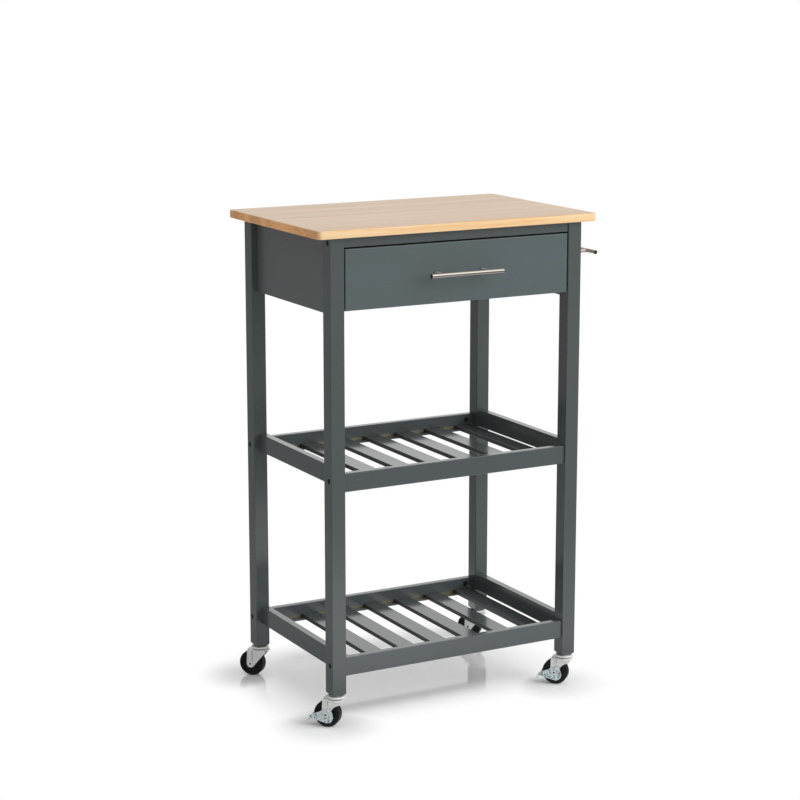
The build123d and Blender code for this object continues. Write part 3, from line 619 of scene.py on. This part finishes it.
def fork_turn(corner):
    """Swivel axis of a caster, and the turn from a fork drawn along X to the caster's own heading."""
    swivel, trail = fork_place(corner)
    return swivel, Matrix((trail, UPWARD.cross(trail), UPWARD)).transposed().to_4x4()


def rib_foot(corner):
    """Height at which a fork's ribs end, which is above the lever on a caster with a brake."""
    return BRAKED_RIB_FOOT if corner in BRAKED_CORNERS else RIB_FOOT


def fork_ribs(corner, material):
    """Pressed upright ribs that stiffen the two cheeks of a caster fork."""
    swivel, turn = fork_turn(corner)
    foot = rib_foot(corner)
    shape = bmesh.new()
    for side in (-1, 1):
        bar = bmesh.ops.create_cube(shape, size=1.0)["verts"]
        bmesh.ops.scale(shape, vec=(RIB_WIDTH, 2 * RIB_RISE, RIB_TOP - foot), verts=bar)
        bmesh.ops.transform(shape, matrix=turn, verts=bar)
        middle = turn @ Vector((RIB_AHEAD, side * FORK_HALF_WIDTH, (RIB_TOP + foot) / 2))
        bmesh.ops.translate(shape, vec=swivel + middle, verts=bar)
    bmesh.ops.bevel(
        shape, geom=shape.edges[:], offset=RIB_ROUND, offset_type="OFFSET", segments=RIB_SEGMENTS,
        profile=0.5, affect="EDGES", material=-1)
    ribs = new_object("fork_ribs_" + corner, shape)
    ribs.data.materials.append(material)
    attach(ribs, "caster_" + corner)


def fork_cutter(corner):
    """Round bar across a caster fork, which cuts the hollow in its cheeks."""
    swivel, turn = fork_turn(corner)
    shape = bmesh.new()
    bmesh.ops.create_cone(
        shape, cap_ends=True, segments=BITE_SEGMENTS, radius1=BITE_RADIUS, radius2=BITE_RADIUS,
        depth=BITE_DEPTH)
    level = Matrix.Rotation(math.pi / 2, 3, "X")
    bmesh.ops.rotate(shape, cent=(0.0, 0.0, 0.0), matrix=level, verts=shape.verts)
    bmesh.ops.translate(shape, vec=BITE_CENTRE, verts=shape.verts)
    bmesh.ops.transform(shape, matrix=turn, verts=shape.verts)
    bmesh.ops.translate(shape, vec=swivel, verts=shape.verts)
    return new_object("fork_cutter", shape)


def hollow_fork(corner, material):
    """Caster fork with a round hollow in the open side of both cheeks, cut from the CAD fork."""
    cutter = fork_cutter(corner)
    shape = bmesh.new()
    shape.from_mesh(NODES["caster_fork_" + corner].data)
    bmesh.ops.remove_doubles(shape, verts=shape.verts, dist=MERGE_DISTANCE)
    fork = new_object("hollow_fork_" + corner, shape)
    cut = fork.modifiers.new("hollow", "BOOLEAN")
    cut.operation = "DIFFERENCE"
    cut.solver = "EXACT"
    cut.object = cutter
    graph = bpy.context.evaluated_depsgraph_get()
    mesh = bpy.data.meshes.new_from_object(fork.evaluated_get(graph))
    fork.modifiers.clear()
    fork.data = mesh
    bpy.data.objects.remove(cutter)
    mesh.materials.clear()
    mesh.materials.append(material)
    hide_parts("caster_fork_" + corner)
    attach(fork, "caster_" + corner)


CRYSTAL_SCALE = 360.0
ZINC_CLOUD = (70.0, 70.0, 70.0), 3.0, 0.55
ZINC_SCRATCH = (900.0, 900.0, 60.0), 3.0, 0.6
CRYSTAL_SHARE, ZINC_CLOUD_SHARE = 0.5, 0.5
DARK_ZINC, PALE_ZINC = 0.84, 1.1
ZINC_ROUGHNESS, CRYSTAL_ROUGHNESS = 0.2, 0.06
ZINC_CLOUD_ROUGHNESS, ZINC_SCRATCH_ROUGHNESS = 0.16, 0.05
ZINC_METALLIC, ZINC_CLOUD_METALLIC = 0.12, 0.25
ZINC_BUMP = 0.00002, 0.3
# Near-black over the race's gap and in the axle's bore: painted shade, with some grease at the race
GREASE_AND_SHADE_EDGE, GREASE_AND_SHADE_TONE = 0.0003, 0.02
# Painted shade: a dark line beside each fork rib, for the shade in its crease
RIB_SHADE_INSET, RIB_SHADE_RAMP = 0.0019, (0.0004, 0.0014)
RIB_SHADE_FOOT_FADE, RIB_SHADE_TOP_FADE = 0.003, 0.0005
RIB_SHADE_DEPTH, RIB_SHADE_TONE = 0.75, 0.2
STAIN = (260.0, 260.0, 260.0), 2.0, 0.5
STAIN_RAMP, STAIN_DEPTH = (0.50, 0.60), 0.75


def rib_painted_shade(finish, corner):
    """1 along the rib of a caster fork, where shade is painted beside it."""
    swivel, trail = fork_place(corner)
    foot = rib_foot(corner)
    x, y, z = finish.axes()
    ahead = (x - swivel.x) * trail.x + (y - swivel.y) * trail.y
    from_line = (ahead - (RIB_AHEAD - RIB_SHADE_INSET)).math("ABSOLUTE")
    line = 1.0 - finish.ramp(from_line, *RIB_SHADE_RAMP)
    above_foot = finish.ramp(z, foot, foot + RIB_SHADE_FOOT_FADE)
    below_top = 1.0 - finish.ramp(z, RIB_TOP, RIB_TOP + RIB_SHADE_TOP_FADE)
    return line * above_foot * below_top


def zinc_plate(name, tint, race_base=None, axle=None, ribbed=None, stain=None):
    """Bright plating with a crystal pattern and cloudy gloss.

    It may have greasy darkening with painted shade above the base of a race, painted shade in the bore of
    one corner's axle, painted shade beside the ribs of one corner's fork, and stains of a colour.
    """
    finish = new_finish(name)
    crystal = finish.cells(CRYSTAL_SCALE)
    cloud = finish.noise(*ZINC_CLOUD)
    scratch = finish.noise(*ZINC_SCRATCH)
    mottle = crystal * CRYSTAL_SHARE + cloud * ZINC_CLOUD_SHARE
    colour = finish.blend(mottle, shade_of(tint, DARK_ZINC), shade_of(tint, PALE_ZINC))
    rough = ZINC_ROUGHNESS + cloud * ZINC_CLOUD_ROUGHNESS + crystal * CRYSTAL_ROUGHNESS
    rough = rough + scratch * ZINC_SCRATCH_ROUGHNESS
    metal = ZINC_METALLIC + cloud * ZINC_CLOUD_METALLIC
    grease_and_shade = None
    # Painted shade and grease: the zinc is darkened near black over the race's gap, and painted shade fills
    # the axle's bore
    if race_base:
        grease_and_shade = finish.ramp(finish.axes()[UPRIGHT], race_base, race_base + GREASE_AND_SHADE_EDGE)
    elif axle:
        from_axle = around_axle(finish, axle)
        grease_and_shade = 1.0 - finish.ramp(from_axle, AXLE_BORE_RADIUS, AXLE_BORE_RADIUS + GREASE_AND_SHADE_EDGE)
    if grease_and_shade:
        colour = finish.blend(grease_and_shade, colour, shade_of(tint, GREASE_AND_SHADE_TONE))
        metal = metal * (1.0 - grease_and_shade)
    # Painted shade: a dark line beside the fork's rib, for the shade of its crease
    if ribbed:
        rib_shade = rib_painted_shade(finish, ribbed)
        colour = finish.blend(rib_shade * RIB_SHADE_DEPTH, colour, shade_of(tint, RIB_SHADE_TONE))
        metal = metal * (1.0 - rib_shade)
    if stain:
        patch = finish.ramp(finish.noise(*STAIN), *STAIN_RAMP)
        colour = finish.blend(patch * STAIN_DEPTH, colour, colour_of(stain))
    return finish.surface(
        base_color=colour, metallic=metal, roughness=rough, normal=finish.bump(scratch, *ZINC_BUMP))


BLACK_SPECULAR = 0.3
BLACK_CLOUD = (300.0, 300.0, 300.0), 3.0, 0.6
DEEP_BLACK, PALE_BLACK = 0.8, 1.5
BLACK_ROUGHNESS, BLACK_CLOUD_ROUGHNESS = 0.4, 0.2
BLACK_BUMP = 0.00002, 0.3


def black_plate():
    """Dull black plating with a fine, uneven skin."""
    metal = bpy.context.scene.cart_metal
    finish = new_finish("black_plate")
    cloud = finish.noise(*BLACK_CLOUD)
    colour = finish.blend(cloud, shade_of(metal.black, DEEP_BLACK), shade_of(metal.black, PALE_BLACK))
    return finish.surface(
        base_color=colour, roughness=BLACK_ROUGHNESS + cloud * BLACK_CLOUD_ROUGHNESS,
        specular_ior_level=BLACK_SPECULAR, normal=finish.bump(cloud, *BLACK_BUMP))


TURNED_RINGS = 5200.0
TREAD_INNER, TREAD_OUTER = 0.0022, 0.0006
DUST = (160.0, 160.0, 160.0), 4.0, 0.65
DUST_RAMP = 0.45, 0.75
DUST_COLOUR = (0.030, 0.029, 0.028, 1.0)
SIDE_DUST, TREAD_DUST = 0.15, 0.5
WHEEL_ROUGHNESS, TREAD_ROUGHNESS, DUST_ROUGHNESS = 0.33, 0.1, 0.12
TURNED_RELIEF, DUST_RELIEF = 0.5, 0.4
WHEEL_BUMP = 0.00006, 0.5


def wheel_black(corner):
    """Black moulded wheel with turned rings on its sides and a dull, dusty tread."""
    metal = bpy.context.scene.cart_metal
    finish = new_finish("wheel_black_" + corner)
    low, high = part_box("caster_wheel_" + corner)
    wheel_radius = (high.z - low.z) / 2
    radius = around_axle(finish, corner)
    rings = (radius * TURNED_RINGS).math("SINE")
    tread = finish.ramp(radius, wheel_radius - TREAD_INNER, wheel_radius - TREAD_OUTER)
    dust = finish.ramp(finish.noise(*DUST), *DUST_RAMP)
    colour = finish.blend(dust * (SIDE_DUST + tread * TREAD_DUST), colour_of(metal.tyre), DUST_COLOUR)
    rough = WHEEL_ROUGHNESS + tread * TREAD_ROUGHNESS + dust * DUST_ROUGHNESS
    height = rings * (1.0 - tread) * TURNED_RELIEF + dust * DUST_RELIEF
    return finish.surface(
        base_color=colour, roughness=rough, specular_ior_level=BLACK_SPECULAR,
        normal=finish.bump(height, *WHEEL_BUMP))


# Stage

WHITE = (1.0, 1.0, 1.0, 1.0)
FLOOR_RADIUS = 9.0
FLOOR_SEGMENTS = 96
SHADE_FRONT_INSET, SHADE_SIDE_INSET = 0.125, 0.06
SHADE_FADE = 0.15
SHEEN_FRONT_INSET = 0.09
SHEEN_FADE = 0.06
WHEEL_SHADE, WHEEL_FADE = 0.03, 0.09
WHEEL_SHEEN = 0.06
MIRROR_FADE = 0.08
LIT_NEAR, LIT_FULL, LIT_FAR, LIT_END = 0.08, 0.35, 0.75, 1.25
LIT_SIDE, LIT_FRONT = 0.08, 0.85
FRONT_START, FRONT_END = 0.0, 0.5
RIGHT_START, RIGHT_END, RIGHT_LOSS = 0.0, 0.7, 0.65
FLOOR_LIFT = 0.08
FLOOR_SHEEN = 0.27
FLOOR_ROUGHNESS = 0.07
BACKDROP_SIDE, BACKDROP_MIDDLE = 0.80, 0.96
CEILING_EDGE, CEILING_MIDDLE = 0.55, 0.95
CEILING_LEVEL = 0.8
SKY_LEAN = 0.35
GLOW_EDGE, GLOW_MIDDLE = 0.91, 0.97
GLOW_LEVEL = 1.6
SOFTBOX_SIZE = 3.3
SOFTBOX_PLACE = Vector((2.7, -3.3, 2.4))
GLOW_WAY = Vector((0.52, -0.60, 0.61))


def backdrop_way(stage):
    """Level direction from the camera to the backdrop behind the cart."""
    return Vector((-math.sin(stage.azimuth), math.cos(stage.azimuth), 0.0))


def studio_rays(finish):
    """Masks of the rays that reach the camera straight, and of those by a mirror or through glass."""
    camera, glossy, glass = [finish.node("ShaderNodeLightPath", {}, {}, "Is " + kind + " Ray")
                             for kind in ("Camera", "Glossy", "Transmission")]
    return camera, glossy.math("MAXIMUM", glass)


def mirrored_studio(finish, stage, towards_backdrop, lit):
    """What mirrors show of the studio: a white backdrop, dim sides, and more light where it is lit."""
    backdrop = finish.ramp(towards_backdrop, BACKDROP_SIDE, BACKDROP_MIDDLE)
    return stage.dim + backdrop.math("MAXIMUM", lit) * (1.0 - stage.dim)


def level_length(x, y):
    """Length of a step on the floor."""
    return (x * x + y * y).math("SQRT")


def floor_gap(x, y, low, high):
    """Distance on the floor outside a rectangle."""
    middle, half = (low + high) / 2, (high - low) / 2
    gap_x = ((x - middle.x).math("ABSOLUTE") - half.x).math("MAXIMUM", 0.0)
    gap_y = ((y - middle.y).math("ABSOLUTE") - half.y).math("MAXIMUM", 0.0)
    return level_length(gap_x, gap_y)


def wheel_gap(x, y, corner):
    """Distance on the floor from the spot below a wheel."""
    centre = Vector(JOINTS["wheel_spin_" + corner]["pos_m"])
    return level_length(x - centre.x, y - centre.y)


def floor_finish(stage):
    """White floor for the camera and mirrors, with the cart's shade and a faint sheen below it."""
    finish = new_finish("floor_white")
    x, y = finish.axes()[:2]
    low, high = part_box("leg_front_left")[0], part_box("leg_back_right")[1]
    beside = floor_gap(x, y, low, high)
    front_left_inset = Vector((SHADE_SIDE_INSET, SHADE_FRONT_INSET, 0.0))
    right_inset = Vector((SHADE_SIDE_INSET, 0.0, 0.0))
    bright = finish.ramp(floor_gap(x, y, low + front_left_inset, high - right_inset), 0.0, SHADE_FADE)
    for corner in CORNERS:
        from_wheel = finish.ramp(wheel_gap(x, y, corner), WHEEL_SHADE, WHEEL_SHADE + WHEEL_FADE)
        bright = bright.math("MINIMUM", from_wheel)

    lit = finish.ramp(beside, LIT_NEAR, LIT_FULL) * (1.0 - finish.ramp(beside, LIT_FAR, LIT_END))
    lit = lit * (LIT_SIDE + finish.ramp(-y, FRONT_START, FRONT_END) * (LIT_FRONT - LIT_SIDE))
    lit = lit * (1.0 - finish.ramp(x, RIGHT_START, RIGHT_END) * RIGHT_LOSS)
    way = backdrop_way(stage)
    towards_backdrop = (x * way.x + y * way.y) / level_length(x, y)
    camera, mirror = studio_rays(finish)
    level = camera + mirror * mirrored_studio(finish, stage, towards_backdrop, lit)
    plain = finish.node("ShaderNodeEmission", {}, {"Color": WHITE, "Strength": level})

    sheen_gap = floor_gap(x, y, low + Vector((0.0, SHEEN_FRONT_INSET, 0.0)), high)
    sheen_end = finish.ramp(wheel_gap(x, y, "back_left"), WHEEL_SHEEN, WHEEL_SHEEN + WHEEL_FADE)
    gloss = (1.0 - finish.ramp(sheen_gap, 0.0, SHEEN_FADE).math("MINIMUM", sheen_end)) * FLOOR_SHEEN
    matte = finish.node("ShaderNodeBsdfDiffuse", {}, {"Color": colour_of(stage.floor)})
    lift_level = (camera + mirror) * FLOOR_LIFT
    lift = finish.node("ShaderNodeEmission", {}, {"Color": WHITE, "Strength": lift_level})
    sheen = finish.node("ShaderNodeBsdfGlossy", {}, {"Color": WHITE, "Roughness": FLOOR_ROUGHNESS})
    lifted = finish.node("ShaderNodeAddShader", {}, {0: matte, 1: lift})
    near = finish.node("ShaderNodeMixShader", {}, {0: gloss, 1: lifted, 2: sheen})

    far = bright * camera + finish.ramp(beside, 0.0, MIRROR_FADE) * mirror
    both = finish.node("ShaderNodeMixShader", {}, {0: far, 1: near, 2: plain})
    finish.node("ShaderNodeOutputMaterial", {}, {"Surface": both})
    return finish.holder


def make_floor(context):
    """Round floor that reaches far beyond the cart."""
    shape = bmesh.new()
    bmesh.ops.create_circle(shape, cap_ends=True, segments=FLOOR_SEGMENTS, radius=FLOOR_RADIUS)
    floor = new_object("floor", shape)
    floor.data.materials.append(floor_finish(context.scene.cart_stage))


def make_sky(context):
    """Even light from all round, with a white studio for the camera and for mirrors."""
    stage = context.scene.cart_stage
    world = bpy.data.worlds.new("studio_sky")
    context.scene.world = world
    finish = Finish(world)
    ray_way = finish.node("ShaderNodeTexCoord", {}, {}, "Generated")
    ways = (backdrop_way(stage), UPWARD, GLOW_WAY.normalized())
    settings = {"operation": "DOT_PRODUCT"}
    behind, upward, glowward = [
        finish.node("ShaderNodeVectorMath", settings, {0: ray_way, 1: way}, "Value") for way in ways]
    camera, mirror = studio_rays(finish)
    ceiling = finish.ramp(upward, CEILING_EDGE, CEILING_MIDDLE) * CEILING_LEVEL
    glow = finish.ramp(glowward, GLOW_EDGE, GLOW_MIDDLE) * GLOW_LEVEL
    mirrored = mirrored_studio(finish, stage, behind, ceiling.math("MAXIMUM", glow))
    even = (1.0 + glowward * SKY_LEAN) * stage.sky
    strength = camera + mirror * mirrored + (1.0 - camera - mirror) * even
    light = finish.node("ShaderNodeBackground", {}, {"Color": WHITE, "Strength": strength})
    finish.node("ShaderNodeOutputWorld", {}, {"Surface": light})


def make_softbox(context):
    """Square soft light that faces the middle of the cart. Mirrors see its glow in the sky instead."""
    light = bpy.data.lights.new("softbox", "AREA")
    light.shape = "SQUARE"
    light.size = SOFTBOX_SIZE
    light.energy = context.scene.cart_stage.softbox
    softbox = bpy.data.objects.new("softbox", light)
    softbox.location = SOFTBOX_PLACE
    cart_middle = (CAD_BOX[0] + CAD_BOX[1]) / 2
    softbox.rotation_euler = (cart_middle - SOFTBOX_PLACE).to_track_quat("-Z", "Y").to_euler()
    softbox.visible_camera = False
    softbox.visible_glossy = False
    context.scene.collection.objects.link(softbox)


def make_camera(context):
    """Camera that looks down at the cart from its front left."""
    stage = context.scene.cart_stage
    data = bpy.data.cameras.new("camera")
    data.lens = stage.lens
    camera = bpy.data.objects.new("camera", data)
    level = math.cos(stage.tilt)
    look = Vector((
        -math.sin(stage.azimuth) * level, math.cos(stage.azimuth) * level, -math.sin(stage.tilt)))
    camera.location = Vector(stage.aim) - look * stage.distance
    camera.rotation_euler = (math.pi / 2 - stage.tilt, 0.0, stage.azimuth)
    context.scene.collection.objects.link(camera)
    context.scene.camera = camera


# Operators and panel

class CART_OT_worktop(bpy.types.Operator):
    """Give the worktop its laminated wood"""

    bl_idname = "cart.worktop"
    bl_label = "Worktop Wood"

    def execute(self, context):
        wear("worktop", laminated_wood())
        return {"FINISHED"}


class CART_OT_frame(bpy.types.Operator):
    """Paint the legs, panels and the rail over the drawer"""

    bl_idname = "cart.frame"
    bl_label = "Painted Frame"

    def execute(self, context):
        paint = context.scene.cart_paint
        for name in ["leg_" + corner for corner in CORNERS] + ["drawer_top_rail"]:
            wear(name, slate_paint(name, paint.slate, paint.gloss_roughness))
        for name in ("side_panel_left", "side_panel_right", "back_panel"):
            wear(name, slate_paint(name, paint.panel, paint.board_roughness))
        return {"FINISHED"}


class CART_OT_shelves(bpy.types.Operator):
    """Paint the rails and slats of both shelves"""

    bl_idname = "cart.shelves"
    bl_label = "Painted Shelves"

    def execute(self, context):
        paint = context.scene.cart_paint
        look = paint.slate, paint.gloss_roughness
        for shelf in SHELVES:
            slats = shelf + "_slats"
            wear(slats, slate_paint(slats, *look, slats))
            for side in ("left", "right"):
                rail = shelf + "_" + side + "_rail"
                wear(rail, slate_paint(rail, *look))
            for side in ("front", "back"):
                rail = shelf + "_" + side + "_rail"
                wear(rail, slate_paint(rail, *look, slats))
        return {"FINISHED"}


class CART_OT_drawer(bpy.types.Operator):
    """Finish the drawer's painted front, its wooden box and runners, and all dowels"""

    bl_idname = "cart.drawer"
    bl_label = "Drawer"

    def execute(self, context):
        paint = context.scene.cart_paint
        wear("drawer_front", slate_paint("drawer_front", paint.board, paint.board_roughness))
        wear("drawer_bottom", pressed_board())
        lengthwise = plain_wood(LENGTHWISE)
        depthwise = plain_wood(DEPTHWISE)
        upright = plain_wood(UPRIGHT)
        wear("drawer_back", lengthwise)
        wear("drawer_stops", upright)
        for name in ("drawer_dowels", "frame_dowels"):
            wear(name, depthwise)
        for side in ("left", "right"):
            wear("drawer_side_" + side, depthwise)
            wear("drawer_runner_" + side, depthwise)
        return {"FINISHED"}


class CART_OT_rails(bpy.types.Operator):
    """Brush the steel of the drawer handle and the towel rail"""

    bl_idname = "cart.rails"
    bl_label = "Handle and Towel Rail"

    def execute(self, context):
        wear("handle_bar", brushed_steel("handle_bar", LENGTHWISE, BAR_ROUGHNESS))
        wear("towel_bar", brushed_steel("towel_bar", DEPTHWISE, BAR_ROUGHNESS))
        wear("handle_posts", brushed_steel("handle_posts", DEPTHWISE, POST_ROUGHNESS, POST_METALLIC))
        wear("towel_posts", brushed_steel("towel_posts", LENGTHWISE, POST_ROUGHNESS, POST_METALLIC))
        return {"FINISHED"}


class CART_OT_casters(bpy.types.Operator):
    """Finish the wheels, forks, stems and brakes of the casters"""

    bl_idname = "cart.casters"
    bl_label = "Casters"

    def execute(self, context):
        metal = context.scene.cart_metal
        plate = zinc_plate("caster_zinc", metal.zinc)
        lever = zinc_plate("brake_zinc", metal.passivated, stain=metal.stain)
        wear("caster_inserts", plate)
        wear("caster_stems", plate)
        race_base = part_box("caster_fork_front_left")[1].z - RACE_HEIGHT
        for corner in CORNERS:
            fork = zinc_plate("fork_zinc_" + corner, metal.zinc, race_base=race_base, ribbed=corner)
            if corner in BRAKED_CORNERS:
                hollow_fork(corner, fork)
            else:
                wear("caster_fork_" + corner, fork)
            fork_ribs(corner, plate)
            wear("caster_axle_" + corner, zinc_plate("axle_zinc_" + corner, metal.zinc, axle=corner))
            wear("caster_wheel_" + corner, wheel_black(corner))
        for corner in BRAKED_CORNERS:
            wear("brake_lever_" + corner, lever)
            wear("brake_rivets_" + corner, plate)
        return {"FINISHED"}


class CART_OT_fasteners(bpy.types.Operator):
    """Plate the bolts, nuts, screws and worktop brackets"""

    bl_idname = "cart.fasteners"
    bl_label = "Fasteners"

    def execute(self, context):
        plate = zinc_plate("fastener_zinc", context.scene.cart_metal.zinc)
        wear("worktop_brackets", plate)
        black = black_plate()
        for name in ("frame_bolts", "barrel_nuts"):
            wear(name, black)
        for place in ("panel", "towel", "drawer"):
            wear(place + "_screws", plate)
        return {"FINISHED"}


class CART_OT_stage(bpy.types.Operator):
    """Set up the floor, the soft light and the camera"""

    bl_idname = "cart.stage"
    bl_label = "Stage"

    def execute(self, context):
        make_floor(context)
        make_sky(context)
        make_softbox(context)
        make_camera(context)
        context.scene.view_settings.view_transform = "Standard"
        return {"FINISHED"}


class CART_PT_finishes(bpy.types.Panel):
    """Sidebar panel with the cart's finishes and stage"""

    bl_idname = "CART_PT_finishes"
    bl_label = "Kitchen Island Cart"
    bl_space_type = "VIEW_3D"
    bl_region_type = "UI"
    bl_category = "Cart"

    def draw(self, context):
        for operator in OPERATORS:
            self.layout.operator(operator.bl_idname)
        for group, kind in SETTINGS.items():
            box = self.layout.box()
            for name in kind.__annotations__:
                box.prop(getattr(context.scene, group), name)


SETTINGS = {
    "cart_wood": CartWood,
    "cart_paint": CartPaint,
    "cart_metal": CartMetal,
    "cart_stage": CartStage,
}
OPERATORS = (
    CART_OT_worktop,
    CART_OT_frame,
    CART_OT_shelves,
    CART_OT_drawer,
    CART_OT_rails,
    CART_OT_casters,
    CART_OT_fasteners,
    CART_OT_stage,
)
CLASSES = (*SETTINGS.values(), *OPERATORS, CART_PT_finishes)


def register():
    for kind in CLASSES:
        bpy.utils.register_class(kind)
    for name, kind in SETTINGS.items():
        setattr(bpy.types.Scene, name, PointerProperty(type=kind))


def unregister():
    for name in SETTINGS:
        delattr(bpy.types.Scene, name)
    for kind in reversed(CLASSES):
        bpy.utils.unregister_class(kind)


def main():
    register()
    bpy.ops.cart.worktop()
    bpy.ops.cart.frame()
    bpy.ops.cart.shelves()
    bpy.ops.cart.drawer()
    bpy.ops.cart.rails()
    bpy.ops.cart.casters()
    bpy.ops.cart.fasteners()
    bpy.ops.cart.stage()


if __name__ == "__main__":
    main()
